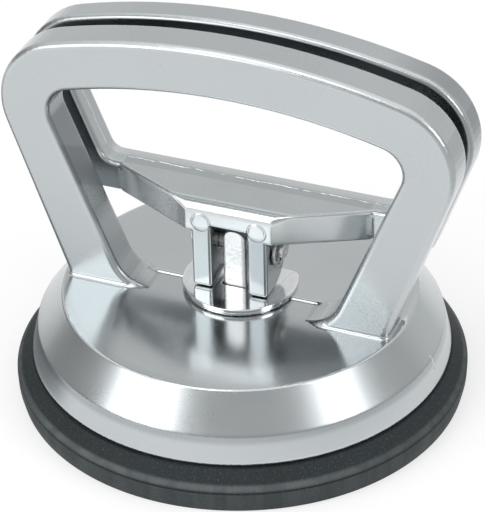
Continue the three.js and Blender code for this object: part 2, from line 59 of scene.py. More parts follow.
back = Vector((
    sin(VIEW_AZIMUTH) * cos(VIEW_ELEVATION),
    -cos(VIEW_AZIMUTH) * cos(VIEW_ELEVATION),
    sin(VIEW_ELEVATION),
))
level_right = Vector((cos(VIEW_AZIMUTH), sin(VIEW_AZIMUTH), 0))
level_up = back.cross(level_right)
right = level_right * cos(VIEW_ROLL) + level_up * sin(VIEW_ROLL)
up = level_up * cos(VIEW_ROLL) - level_right * sin(VIEW_ROLL)
aim = VIEW_CENTRE + level_right * VIEW_OFFSET[0] + level_up * VIEW_OFFSET[1]
camera = bpy.data.objects.new("camera", bpy.data.cameras.new("camera"))
camera.data.sensor_fit = "AUTO"
camera.data.sensor_width = SENSOR
camera.data.lens = LENS_FOCAL_IN_SENSORS * SENSOR
turn = Matrix((right, up, back)).transposed().to_4x4()
camera.matrix_world = Matrix.Translation(aim + back * VIEW_DISTANCE) @ turn
bpy.context.collection.objects.link(camera)
bpy.context.scene.camera = camera


# ---- Studio ----
# A white table in a white room, with a large soft lamp on each side and one above.
# The sockets of every material are wrapped so that shader maths reads as plain maths.

FLOOR_WIDTH = 3.0
ROOM_LIGHT = 0.80
FRONT_WALL = 0.56  # how bright each wall looks in the metal
BACK_WALL = 0.90
LEFT_SHADE = 0.65  # how far the side walls fall off
RIGHT_SHADE = 0.35
CEILING = 0.55  # how much brighter the ceiling is
TABLE_GLOW = 0.5  # share of the table top that shows plain white over its shadows
TABLE_WHITE = 1.2
REFLECTED_SHADE_TONE = 0.20  # painted shade: a darker patch of table left of the lifter that only the metal shows
REFLECTED_SHADE_EDGE = (0.058, 0.068)
RIGHT_REFLECTED_SHADE = 0.45  # weaker painted shade lies at the right, also seen only in the metal
LAMPS = {
    # name: (bearing, height angle, distance, width, height, brightness)
    "left_softbox": (-125, 29, 1.0, 0.62, 0.50, 2.6),
    "right_softbox": (-13, 31, 1.0, 0.40, 0.50, 2.8),
    "top_softbox": (-115, 66, 1.1, 0.50, 0.40, 2.4),
}

bpy.context.scene.view_settings.view_transform = "Standard"


class Link:
    """A shader socket that adds its own Math nodes when it is used in an expression."""

    def __init__(self, shader, socket):
        self.shader, self.socket = shader, socket

    def maths(self, operation, *values):
        return self.shader.node("Math", {"operation": operation}, *values)[0]

    def __add__(self, other):
        return self.maths("ADD", self, other)

    def __sub__(self, other):
        return self.maths("SUBTRACT", self, other)

    def __rsub__(self, other):
        return self.maths("SUBTRACT", other, self)

    def __mul__(self, other):
        return self.maths("MULTIPLY", self, other)

    def __pow__(self, other):
        return self.maths("POWER", self, other)

    def __neg__(self):
        return self.maths("MULTIPLY", self, -1)

    def __abs__(self):
        return self.maths("ABSOLUTE", self)

    __radd__, __rmul__ = __add__, __mul__

    def least(self, other):
        return self.maths("MINIMUM", self, other)

    def most(self, other):
        return self.maths("MAXIMUM", self, other)

    def root(self):
        return self.maths("SQRT", self)

    def rise(self, start, end, low=0.0, high=1.0):
        """Climbs smoothly from low to high as this value goes from start to end."""
        kind = {"interpolation_type": "SMOOTHSTEP"}
        return self.shader.node("MapRange", kind, self, start, end, low, high)[0]


class Shader:
    """One material, whose nodes are made by one method."""

    def __init__(self, owner, surface, seen_in="Object", **fixed):
        self.material = owner
        owner.use_nodes = True
        self.nodes, self.links = owner.node_tree.nodes, owner.node_tree.links
        self.surface = self.nodes[surface]
        for socket, value in fixed.items():
            self.feed(self.surface.inputs[socket.replace("_", " ")], value)
        self.place = self.node("TexCoord", {})[seen_in]
        self.x, self.y, self.z = self.node("SeparateXYZ", {}, self.place).values()

    def feed(self, socket, value):
        if isinstance(value, Link):
            self.links.new(value.socket, socket)
        elif value is not None:
            if isinstance(value, tuple) and len(value) == 3 and socket.type == "RGBA":
                value = (*value, 1)
            socket.default_value = value

    def node(self, kind, settings, *values, **named):
        made = self.nodes.new("ShaderNode" + kind)
        for key, value in settings.items():
            setattr(made, key, value)
        for socket, value in zip(made.inputs, values):
            self.feed(socket, value)
        for name, value in named.items():
            self.feed(made.inputs[name.replace("_", " ")], value)
        enabled = [socket for socket in made.outputs if socket.enabled]
        return Outputs({socket.name: Link(self, socket) for socket in enabled})

    def noise(self, per_metre, detail=2.0, roughness=0.5, stretch=None):
        place = self.place
        if stretch:
            place = self.node("Mapping", {}, place, Scale=stretch)["Vector"]
        return self.node(
            "TexNoise", {}, Vector=place, Scale=per_metre, Detail=detail, Roughness=roughness
        )[0]

    def mix(self, share, first, second):
        """A colour between two others; the Mix node keeps its colour sockets last."""
        made = self.nodes.new("ShaderNodeMix")
        made.data_type = "RGBA"
        for index, value in ((0, share), (6, first), (7, second)):
            self.feed(made.inputs[index], value)
        return Link(self, made.outputs[2])

    def bump(self, height, strength, distance, under=None):
        made = self.node(
            "Bump", {}, Height=height, Strength=strength, Distance=distance, Normal=under
        )
        return made["Normal"]

    def coat(self, **varied):
        for socket, value in varied.items():
            self.feed(self.surface.inputs[socket.replace("_", " ")], value)
        return self.material


class Outputs(dict):
    """A node's outputs, by name or by number."""

    def __getitem__(self, key):
        return list(self.values())[key] if isinstance(key, int) else super().__getitem__(key)


def finish(name, **fixed):
    return Shader(bpy.data.materials.new(name), "Principled BSDF", **fixed)


def seen_white(shader, output, plain, white, share=1.0):
    """White to the camera and in the metal; what lights the object stays plain."""
    path = shader.node("LightPath", {})
    seen = path["Is Camera Ray"].most(path["Is Glossy Ray"]).most(path["Is Transmission Ray"])
    mix = shader.nodes.new("ShaderNodeMixShader")
    shader.feed(mix.inputs[0], seen * share)
    shader.links.new(plain, mix.inputs[1])
    shader.links.new(white, mix.inputs[2])
    shader.links.new(mix.outputs[0], shader.nodes[output].inputs["Surface"])
    return path["Is Camera Ray"]


bpy.context.scene.world = bpy.data.worlds.new("white_room")
room = Shader(bpy.context.scene.world, "Background", "Generated", Color=(1, 1, 1))
room.surface.inputs["Strength"].default_value = ROOM_LIGHT
walls = room.nodes.new("ShaderNodeBackground")
to_camera = seen_white(room, "World Output", room.surface.outputs[0], walls.outputs[0])
wall = room.y.rise(-0.6, 0.4, FRONT_WALL, BACK_WALL)
glow = wall + (1 - wall) * room.z.rise(0.30, 0.02) + room.z.rise(0.60, 0.85, 0.0, CEILING)
glow = glow * (1 - (-room.x).rise(0.70, 0.95) * room.z.rise(0.45, 0.20) * LEFT_SHADE)
glow = glow * (1 - room.x.rise(0.60, 0.92) * RIGHT_SHADE)
walls.inputs["Color"].default_value = (1, 1, 1, 1)
room.feed(walls.inputs["Strength"], (glow * ROOM_LIGHT).most(to_camera))

for name, (bearing, rise, distance, width, height, bright) in LAMPS.items():
    light = bpy.data.lights.new(name, "AREA")
    light.shape, light.size, light.size_y = "RECTANGLE", width, height
    light.energy = bright * pi * width * height
    bearing, rise = radians(bearing), radians(rise)
    direction = Vector((cos(bearing) * cos(rise), sin(bearing) * cos(rise), sin(rise)))
    lamp = bpy.data.objects.new(name, light)
    lamp.location = direction * distance
    lamp.rotation_euler = direction.to_track_quat("Z", "Y").to_euler()
    bpy.context.collection.objects.link(lamp)

table_top = finish("white_table", Roughness=0.9, Base_Color=(0.80, 0.80, 0.80))
grain = table_top.noise(40.0, 3.0)
table_top.feed(table_top.surface.inputs["Roughness"], grain.rise(0.3, 0.7, 0.85, 0.95))
white = table_top.nodes.new("ShaderNodeEmission")
white.inputs["Strength"].default_value = TABLE_WHITE
lit = table_top.surface.outputs[0]
seen_white(table_top, "Material Output", lit, white.outputs[0], TABLE_GLOW)
# Painted shade seen only in the metal: the table shows darker left and right of the lifter, where
# its shade would fall.
reflected_shade = table_top.nodes.new("ShaderNodeEmission")
reflected_shade.inputs["Color"].default_value = (0.90, 1.0, 1.02, 1)
reflected_shade.inputs["Strength"].default_value = REFLECTED_SHADE_TONE
reflected_shade_share = table_top.node("LightPath", {})["Is Glossy Ray"] * (
    (-table_top.x).rise(*REFLECTED_SHADE_EDGE) * table_top.y.rise(-0.056, -0.042)
    * (1 - table_top.y.rise(0.0, 0.03))
    + table_top.x.rise(0.09, 0.16) * RIGHT_REFLECTED_SHADE
)
metal_shade_mix = table_top.nodes.new("ShaderNodeMixShader")
floor_surface = table_top.nodes["Material Output"].inputs["Surface"]
table_top.feed(metal_shade_mix.inputs[0], reflected_shade_share)
table_top.links.new(floor_surface.links[0].from_socket, metal_shade_mix.inputs[1])
table_top.links.new(reflected_shade.outputs[0], metal_shade_mix.inputs[2])
table_top.links.new(metal_shade_mix.outputs[0], floor_surface)
reach = FLOOR_WIDTH / 2
floor_mesh = bpy.data.meshes.new("floor")
floor_mesh.from_pydata(
    [(-reach, -reach, 0), (reach, -reach, 0), (reach, reach, 0), (-reach, reach, 0)],
    [],
    [(0, 1, 2, 3)],
)
floor_mesh.materials.append(table_top.material)
floor = bpy.data.objects.new("floor", floor_mesh)
bpy.context.collection.objects.link(floor)


# ---- Cup housing with its fixed handle ----
# One aluminium die casting: a shallow stepped dome whose skirt presses on the rubber,
# with an arched grip standing on it. It is shot-blasted, then lacquered silver grey.

HOUSING_BOTTOM_Z = 10.9
SKIRT_RADIUS = 54.9
SHOULDER_RADIUS = 52.9
SHOULDER_Z = 18.7
PLATEAU_RADIUS = 45.8
PLATEAU_Z = 28.7
FRONT_PLATEAU_Z = 28.1
PLATEAU_STEP_Y = -2.5
HOUSING_WALL = 3.4
GUIDE_RADIUS = 11
GUIDE_BOTTOM_Z = 20.5
BORE_RADIUS = 5.3
GRIP_TOP_Z = 101.9
GRIP_TOP_RADIUS = 179
GRIP_OUTER_CORNER = 18.7
GRIP_HOLE_TOP_Z = 88.5
GRIP_INNER_RADIUS = 161
GRIP_INNER_CORNER = 7
LEG_OUTER_FOOT_X = 43.7
LEG_INNER_FOOT_X = 28
LEG_OUTER_LEAN = radians(19.4)
LEG_INNER_LEAN = radians(21.8)
FOOT_FILLET = 10
HANDLE_FRONT_Y = -11.3
HANDLE_BACK_Y = -0.6
HANDLE_EDGE = 1.7
HANDLE_FOOT_ROUND = 0.9
HOUSING_GRID = 0.57
SETTLE_REACH = 0.02  # how far to each side a rule is read to move points onto it,
NORMAL_REACH = 0.08  # to shade it,
BEND_REACH = 0.45  # and to tell edges from creases

LACQUER_DARK = (0.490, 0.524, 0.536)
LACQUER_PALE = (0.552, 0.586, 0.599)
# bright metal for rubbed edges, also used for painted highlights
WEAR_AND_SHEEN_METAL = (0.80, 0.82, 0.83)
CREASE_GREY = (0.17, 0.19, 0.20)
PORE_GREY = (0.14, 0.15, 0.16)
# dark grey for painted shade
PAINTED_SHADE_GREY = (0.13, 0.145, 0.155)
RIDGE_METAL = (0.86, 0.88, 0.88)

MM = 0.001


def arc(centre_x, centre_y, radius, start, end, steps=10):
    angles = np.linspace(start, end, steps)
    return [(centre_x + radius * cos(a), centre_y + radius * sin(a)) for a in angles]


def rounded(corners, steps=6):
    """An outline whose corners (x, y, radius) are turned into arcs."""
    points = []
    for i, (x, y, radius) in enumerate(corners):
        here = np.array((x, y), float)
        to_last = np.array(corners[i - 1][:2], float) - here
        to_next = np.array(corners[(i + 1) % len(corners)][:2], float) - here
        if radius == 0:
            points.append((x, y))
            continue
        to_last /= np.linalg.norm(to_last)
        to_next /= np.linalg.norm(to_next)
        half = acos(np.clip(to_last @ to_next, -1, 1)) / 2
        middle = (to_last + to_next) / np.linalg.norm(to_last + to_next)
        centre = here + middle * radius / sin(half)
        start = here + to_last * radius / tan(half) - centre
        end = here + to_next * radius / tan(half) - centre
        first = atan2(start[1], start[0])
        swing = (atan2(end[1], end[0]) - first + pi) % (2 * pi) - pi
        points += arc(centre[0], centre[1], radius, first, first + swing, steps)
    return points


def outline_distance(x, y, points):
    """Distance to a closed outline, negative inside it."""
    nearest = np.full(x.shape, 1e9)
    inside = np.zeros(x.shape, bool)
    for (ax, ay), (bx, by) in zip(points, points[1:] + points[:1]):
        ex, ey = bx - ax, by - ay
        along = ex * ex + ey * ey
        if along < 1e-12:
            continue
        px, py = x - ax, y - ay
        share = np.clip((px * ex + py * ey) / along, 0, 1)
        nearest = np.minimum(nearest, (px - ex * share) ** 2 + (py - ey * share) ** 2)
        crosses = (y >= ay) != (y >= by)
        if ey:
            inside ^= crosses & (px < ex * py / ey)
    return np.sqrt(nearest) * np.where(inside, -1, 1)


def joined(first, second, fillet=0.0):
    """Both solids, with a round fillet in the inner corner."""
    a, b = np.maximum(fillet - first, 0), np.maximum(fillet - second, 0)
    return np.maximum(fillet, np.minimum(first, second)) - np.sqrt(a * a + b * b)


def common(first, second, edge=0.0):
    """What both solids share, with a rounded outer edge."""
    return -joined(-first, -second, edge)


def cut(solid, tool, edge=0.0):
    return common(solid, -tool, edge)


def eased(value, start, end):
    share = np.clip((value - start) / (end - start), 0, 1)
    return share * share * (3 - 2 * share)


def between(value, low, high):
    return np.maximum(low - value, value - high)


def arch_side(top_z, top_radius, foot_x, lean, corner):
    """Right side of a grip outline: leg line, corner arc and top arc past the middle."""
    centre_z = top_z - top_radius
    ux, uz = sin(lean), cos(lean)
    start_x = foot_x - uz * corner
    start_z = PLATEAU_Z + ux * corner - centre_z
    along = start_x * ux + start_z * uz
    travel = sqrt((top_radius - corner) ** 2 - (start_x**2 + start_z**2 - along**2)) - along
    corner_x = start_x + ux * travel
    corner_z = start_z + uz * travel
    top_angle = atan2(corner_z, corner_x)
    past_middle = pi / 2 + 20 / top_radius
    return (
        arc(corner_x, corner_z + centre_z, corner, -lean, top_angle, 16)
        + arc(0, centre_z, top_radius, top_angle, past_middle, 14)[1:]
    )


def leg_x(foot_x, lean, z):
    return foot_x + (z - PLATEAU_Z) * tan(lean)


OUTER_SIDE = arch_side(
    GRIP_TOP_Z, GRIP_TOP_RADIUS, LEG_OUTER_FOOT_X, LEG_OUTER_LEAN, GRIP_OUTER_CORNER
)
INNER_SIDE = arch_side(
    GRIP_HOLE_TOP_Z, GRIP_INNER_RADIUS, LEG_INNER_FOOT_X, LEG_INNER_LEAN, GRIP_INNER_CORNER
)


def skin(name, solid, low, high, step, unseen=None):
    """The surface of a solid, given as a distance rule, as a closed mesh with true normals."""
    low, high = np.array(low, float) - step, np.array(high, float) + step
    # A coarse grid finds the blocks near the surface, and only those are read finely.
    block = 4
    blocks = np.ceil((high - low) / (step * block)).astype(int)
    counts = blocks * block
    grids = [low[i] + step * block * (np.arange(blocks[i]) + 0.5) for i in range(3)]
    coarse = solid(*(g.ravel() for g in np.meshgrid(*grids, indexing="ij"))).reshape(blocks)
    field = coarse
    for axis in range(3):
        field = np.repeat(field, block, axis)
    field = np.ascontiguousarray(field)
    near = np.argwhere(np.abs(coarse) < step * block * 1.35)
    offsets = np.stack(np.meshgrid(*[np.arange(block)] * 3, indexing="ij"), -1).reshape(-1, 3)
    spots = (near[:, None, :] * block + offsets[None]).reshape(-1, 3)
    spread = low + spots * step
    field[spots[:, 0], spots[:, 1], spots[:, 2]] = solid(*spread.T)

    # Each cell that the surface crosses gets a point, the mean of where its edges are cut.
    inside = field < 0
    count = np.zeros(counts - 1, int)
    corners = [(i, j, k) for i in (0, 1) for j in (0, 1) for k in (0, 1)]
    for i, j, k in corners:
        count += inside[i : i + counts[0] - 1, j : j + counts[1] - 1, k : k + counts[2] - 1]
    cells = np.argwhere((count > 0) & (count < 8))
    values = {c: field[tuple((cells + c).T)] for c in corners}
    total, hits = np.zeros((len(cells), 3)), np.zeros(len(cells))
    for c in corners:
        for axis in range(3):
            if c[axis]:
                continue
            d = tuple(c[i] + (i == axis) for i in range(3))
            crossing = (values[c] < 0) != (values[d] < 0)
            share = np.where(crossing, values[c] / (values[c] - values[d] + 1e-30), 0)
            spot = np.array(c, float) + share[:, None] * np.eye(3)[axis]
            total += spot * crossing[:, None]
            hits += crossing
    places = low + (cells + total / hits[:, None]) * step

    # Each grid edge that is cut becomes a face between the four cells round it.
    index = np.full(counts - 1, -1)
    index[tuple(cells.T)] = np.arange(len(cells))
    faces = []
    for axis in range(3):
        u, v = (axis + 1) % 3, (axis + 2) % 3
        first = np.take(inside, range(counts[axis] - 1), axis)
        second = np.take(inside, range(1, counts[axis]), axis)
        edges = np.argwhere(first != second)
        outward = first[tuple(edges.T)]
        ring = []
        for du, dv in ((1, 1), (0, 1), (0, 0), (1, 0)):
            cell = edges.copy()
            cell[:, u] -= du
            cell[:, v] -= dv
            ring.append(index[tuple(cell.T)])
        ring = np.stack(ring, 1)
        ring[~outward] = ring[~outward][:, ::-1]
        faces.append(ring)
    faces = np.concatenate(faces)

    def slope(spots, reach):
        return np.stack(
            [
                solid(*(spots + reach * np.eye(3)[i]).T) - solid(*(spots - reach * np.eye(3)[i]).T)
                for i in range(3)
            ],
            1,
        ) / (2 * reach)

    # The points are moved onto the surface, half a cell at most each time.
    for _ in range(3):
        gradient = slope(places, SETTLE_REACH)
        squared = np.maximum((gradient**2).sum(1), 0.2)
        move = gradient * (solid(*places.T) / squared)[:, None]
        length = np.linalg.norm(move, axis=1)
        places -= move * np.minimum(1, 0.5 * step / np.maximum(length, 1e-9))[:, None]
    mesh = bpy.data.meshes.new(name)
    mesh.from_pydata((places * MM).tolist(), [], faces.tolist())
    made = bpy.data.objects.new(name, mesh)
    bpy.context.collection.objects.link(made)
    if unseen:
        mesh, places = thinned(made, unseen(*places.T))

    normals = slope(places, NORMAL_REACH)
    normals /= np.maximum(np.linalg.norm(normals, axis=1), 1e-9)[:, None]
    around = sum(
        solid(*(places + sign * BEND_REACH * np.eye(3)[i]).T)
        for i in range(3)
        for sign in (-1, 1)
    )
    bend = np.clip(around / BEND_REACH, -1, 1)
    mesh.attributes.new("bend", "FLOAT", "POINT").data.foreach_set("value", bend.astype("f"))
    mesh.polygons.foreach_set("use_smooth", [True] * len(mesh.polygons))
    mesh.normals_split_custom_set_from_vertices(normals.tolist())
    return made


def thinned(made, unseen, kept=0.1):
    """Leaves few faces where a piece is never seen; the rest stays as it is."""
    group = made.vertex_groups.new(name="unseen")
    group.add(np.flatnonzero(unseen).tolist(), 1.0, "REPLACE")
    fewer = made.modifiers.new("fewer", "DECIMATE")
    fewer.vertex_group = "unseen"
    fewer.ratio = 1 - float(unseen.mean()) * (1 - kept)
    graph = bpy.context.evaluated_depsgraph_get()
    mesh = bpy.data.meshes.new_from_object(made.evaluated_get(graph))
    made.modifiers.remove(fewer)
    made.vertex_groups.clear()
    made.data = mesh
    mesh.name = made.name
    places = np.empty(len(mesh.vertices) * 3)
    mesh.vertices.foreach_get("co", places)
    return mesh, places.reshape(-1, 3) / MM


foot_fillet_z = FRONT_PLATEAU_Z + FOOT_FILLET
foot_fillet_x = leg_x(LEG_INNER_FOOT_X, LEG_INNER_LEAN, foot_fillet_z) - FOOT_FILLET / cos(
    LEG_INNER_LEAN
)
HANDLE_OUTLINE = [(-20, 20), (leg_x(LEG_OUTER_FOOT_X, LEG_OUTER_LEAN, 20), 20)] + OUTER_SIDE
HANDLE_HOLE = (
    [(-20, 10), (foot_fillet_x, 10)]
    + arc(foot_fillet_x, foot_fillet_z, FOOT_FILLET, -pi / 2, -LEG_INNER_LEAN, 10)
    + INNER_SIDE
)
cone_drop = PLATEAU_Z - SHOULDER_Z
cone_lean = sqrt((SHOULDER_RADIUS - PLATEAU_RADIUS) ** 2 + cone_drop**2) / cone_drop
DOME_PROFILE = rounded([
    (-9, GUIDE_BOTTOM_Z, 0),
    (GUIDE_RADIUS, GUIDE_BOTTOM_Z, 0.5),
    (GUIDE_RADIUS, PLATEAU_Z - HOUSING_WALL, 0.6),
    (PLATEAU_RADIUS - HOUSING_WALL * cone_lean / 2, PLATEAU_Z - HOUSING_WALL, 1.0),
    (SHOULDER_RADIUS - HOUSING_WALL * cone_lean, SHOULDER_Z, 1.5),
    (SKIRT_RADIUS - HOUSING_WALL, HOUSING_BOTTOM_Z, 0.9),
    (SKIRT_RADIUS, HOUSING_BOTTOM_Z, 0.9),
    (SHOULDER_RADIUS + 0.05, SHOULDER_Z + 0.05, 1.3),
    (PLATEAU_RADIUS - 0.1, PLATEAU_Z, 1.6),
    (-9, PLATEAU_Z, 0),
])


def housing_solid(x, y, z):
    across = np.sqrt(x * x + y * y)
    dome = outline_distance(across, z, DOME_PROFILE)
    # The step in the plateau is crisp, and fades out before it meets the right leg.
    run = 0.35 + 4.5 * eased(x, 20, 27)
    step = eased(y, PLATEAU_STEP_Y - run / 2, PLATEAU_STEP_Y + run / 2)
    step = np.maximum(step, eased(across, 14.7, 14.3))  # a round seat under the wear plate
    top = FRONT_PLATEAU_Z + (PLATEAU_Z - FRONT_PLATEAU_Z) * step
    dome = common(dome, (z - top) * 0.7, 0.25)
    dome = cut(dome, across - BORE_RADIUS, 0.3)
    side = np.abs(x)
    arch = cut(
        outline_distance(side, z, HANDLE_OUTLINE), outline_distance(side, z, HANDLE_HOLE)
    )
    arch = common(arch, between(y, HANDLE_FRONT_Y, HANDLE_BACK_Y), HANDLE_EDGE)
    arch = np.maximum(arch, PLATEAU_Z - HOUSING_WALL / 2 - z)
    return joined(dome, arch, HANDLE_FOOT_ROUND * eased(side, foot_fillet_x, foot_fillet_x + 6))


def cast_finish(name, polished, tones, ridges):
    """Silver lacquer over a blasted casting: soft pebbling, brighter rubbed edges, painted shade
    in creases, and the painted shade and highlight given by each casting's tones.
    """
    metal = finish(name, Metallic=1.0, Coat_Roughness=0.12)
    bend = metal.node("Attribute", {"attribute_name": "bend"})["Fac"]
    cloud = metal.noise(38.0, 3.0)
    fine = metal.noise(1400.0, 2.0, 0.6)
    # Convex edges are brightened as rubbed wear; concave creases get painted shade.
    rubbed = bend.rise(0.08, 0.80)
    crease = (-bend).rise(0.10, 0.80)
    pores = metal.noise(900.0, 1.0).rise(0.735, 0.77) * metal.noise(120.0, 1.0).rise(0.5, 0.6)
    tone = metal.noise(11.0, 1.0).rise(0.25, 0.75, 0.1, 0.9) + fine.rise(0.3, 0.7, -0.12, 0.12)
    tone = (tone + cloud.rise(0.35, 0.65, -0.15, 0.15)).least(1).most(0)
    base = metal.mix(tone, LACQUER_DARK, LACQUER_PALE)
    base = metal.mix(rubbed * 0.5, base, WEAR_AND_SHEEN_METAL)
    base = metal.mix(crease * 0.5, base, CREASE_GREY)
    base = metal.mix(pores * 0.12, base, PORE_GREY)
    # Each casting's tones give painted shade and painted highlight, mixed over the lacquer.
    painted_shade, painted_highlight = tones(metal)
    base = metal.mix(painted_shade, base, PAINTED_SHADE_GREY)
    base = metal.mix(painted_highlight, base, WEAR_AND_SHEEN_METAL)
    rough = 0.29 - polished(metal) * 0.12 + cloud.rise(0.3, 0.7, -0.03, 0.03)
    rough = rough + fine.rise(0.3, 0.7, -0.01, 0.01)
    pebbles = metal.noise(420.0, 2.0, 0.45)
    normal = metal.bump(pebbles, 0.018, 0.0002)
    normal = metal.bump(fine, 0.012, 0.00004, normal)
    height, line = ridges(metal)
    normal = metal.bump(height, 1.0, 0.0003, normal)
    base = metal.mix(line, base, RIDGE_METAL)
    return metal.coat(Base_Color=base, Roughness=rough, Normal=normal, Coat_Weight=0.45)


def plateau_polish(metal):
    """The plateau was buffed before lacquering, so it mirrors more than the rest."""
    z = metal.z * 1000
    return z.rise(27.4, 28.0) * (1 - z.rise(28.9, 29.6))


def handle_tones(metal):
    """Painted shade on the grip's face toward the lever, inside the left leg and along the top of
    the skirt; painted highlight on the front of the plateau.
    """
    x, y, z = metal.x * 1000, metal.y * 1000, metal.z * 1000
    # Painted shade: the grip's back face toward the lever is darkened.
    lever_side = y.rise(-1.5, -0.8) * z.rise(32, 40) * 0.45
    # Painted shade inside the left leg, patchy in a slanting band.
    lining = metal.node("Attribute", {"attribute_name": "hole_side"})["Fac"]
    patchy = (z + y * 0.6).rise(49, 50.5) * (1 - (z + y * 0.6).rise(60, 61.5))
    lining = lining * (-x).rise(10, 16) * (0.62 + patchy * 0.16) * z.rise(43, 49, 0.45, 1.0)
    # Painted shade along the top of the skirt, under the shoulder.
    across = (x**2 + y**2).root()
    shoulder = (1 - abs(z - 18.0).rise(0.2, 1.9)) * across.rise(52.2, 53.0) * 0.34
    # Painted highlight on the front of the plateau.
    plateau = across.rise(44.5, 43) * z.rise(27.6, 28.0) * (1 - z.rise(28.9, 29.2))
    front = plateau * (1 - y.rise(-12, -5)) * 0.12
    return lever_side.most(lining).most(shoulder), front


def skirt_nick(metal):
    """A short upright rib on the skirt marks where the die halves met."""
    y, z = metal.y * 1000 + 2.6, metal.z * 1000
    near = (metal.x * 1000).rise(48, 50) * z.rise(15.8, 16.3) * (1 - z.rise(19.2, 19.8))
    rib = (1 - abs(y).rise(0.12, 0.40)) * near
    return rib, rib * 0.5


def housing_hollow(x, y, z):
    across = np.sqrt(x * x + y * y)
    return (z < PLATEAU_Z - 2.5) & (across < SHOULDER_RADIUS - HOUSING_WALL) & (across > 6)


housing = skin(
    "housing_casting", housing_solid, (-61, -56, 10), (61, 56, 103), HOUSING_GRID, housing_hollow
)
spots = np.array([v.co for v in housing.data.vertices]) / MM
# The faces inside the grip's hole, where handle_tones paints shade on the left leg.
lining = eased(outline_distance(np.abs(spots[:, 0]), spots[:, 2], HANDLE_HOLE), 0.9, 0.4)
lining *= (spots[:, 2] < 92) & (np.abs(spots[:, 1] + 6) < 5.3) & (spots[:, 2] > 30)
mark = housing.data.attributes.new("hole_side", "FLOAT", "POINT")
mark.data.foreach_set("value", lining.astype("f"))
housing.data.materials.append(
    cast_finish("lacquered_casting", plateau_polish, handle_tones, skirt_nick)
)
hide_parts("cup_housing")
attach(housing, "housing")


# ---- Cam lever ----
# The second aluminium die casting: a loop as large as the fixed grip, closed below by a
# crossbar whose nose carries the two cam cheeks. It swings back on the pivot pin.

LEVER_FRONT_Y = 3.6
LEVER_BACK_Y = 12.0
LEVER_EDGE = 1.4
CROSSBAR_BOTTOM_Z = 46.6
CROSSBAR_TOP_Z = 55.2
CROSSBAR_HOLE_FILLET = 3.5
CROSSBAR_END_FILLET = 2
NOSE_FRONT_Y = -7.5
NOSE_HALF_WIDTH = 11.6
NOSE_ROOT_X = 34.2
NOSE_BEVEL_Y = 2.1
NOSE_BEVEL_Z = 1.6
CHEEK_INNER_X = 4.9
CHEEK_OUTER_X = 10.2
CHEEK_BOTTOM_Z = 30.2
CHEEK_SLOT_TOP_Z = 48.9
PIN_Z = 41.2
PIN_HOLE_RADIUS = 2.65
CAM_SWING = radians(65)
STUD_TRAVEL = 3.5
CAM_GAP = 0.3
CAM_SLACK = 0.1
EJECTOR_X = 7.55
EJECTOR_Z = 49.7
EJECTOR_RADIUS = 2.65
PARTING_Y = 7.6
LEVER_GRID = 0.43

end_z = CROSSBAR_BOTTOM_Z + CROSSBAR_END_FILLET
end_x = leg_x(LEG_OUTER_FOOT_X, LEG_OUTER_LEAN, end_z) - CROSSBAR_END_FILLET / cos(LEG_OUTER_LEAN)
hole_z = CROSSBAR_TOP_Z + CROSSBAR_HOLE_FILLET
hole_x = leg_x(LEG_INNER_FOOT_X, LEG_INNER_LEAN, hole_z) - CROSSBAR_HOLE_FILLET / cos(
    LEG_INNER_LEAN
)
LOOP_OUTLINE = (
    [(-20, CROSSBAR_BOTTOM_Z)]
    + arc(end_x, end_z, CROSSBAR_END_FILLET, -pi / 2, -LEG_OUTER_LEAN, 6)
    + OUTER_SIDE
)
LOOP_HOLE = (
    [(-20, CROSSBAR_TOP_Z)]
    + arc(hole_x, hole_z, CROSSBAR_HOLE_FILLET, -pi / 2, -LEG_INNER_LEAN, 8)
    + INNER_SIDE
)
NOSE_PLAN = rounded([
    (-20, 10, 0),
    (-20, NOSE_FRONT_Y, 0),
    (NOSE_HALF_WIDTH, NOSE_FRONT_Y, 0.9),
    (NOSE_ROOT_X, LEVER_FRONT_Y, 0),
    (NOSE_ROOT_X, 10, 0),
])
lift_rate = STUD_TRAVEL / CAM_SWING
cam_reach = PIN_Z - CHEEK_BOTTOM_Z + CAM_GAP - CAM_SLACK
cam_curve = []
for i in range(25):
    angle = i / 24 * pi / 2
    spread = cam_reach - lift_rate * angle
    y = spread * sin(angle) - lift_rate * cos(angle)
    z = PIN_Z - spread * cos(angle) - lift_rate * sin(angle)
    if z > CHEEK_BOTTOM_Z:
        cam_curve.append((y, z, 0))
CHEEK_PROFILE = rounded(
    [
        (NOSE_FRONT_Y, CHEEK_SLOT_TOP_Z, 0),
        (NOSE_FRONT_Y, CHEEK_BOTTOM_Z, 0.9),
        (cam_curve[0][0] - 0.6, CHEEK_BOTTOM_Z, 0.3),
    ]
    + cam_curve
    + [(cam_curve[-1][0], CHEEK_SLOT_TOP_Z, 0)]
)


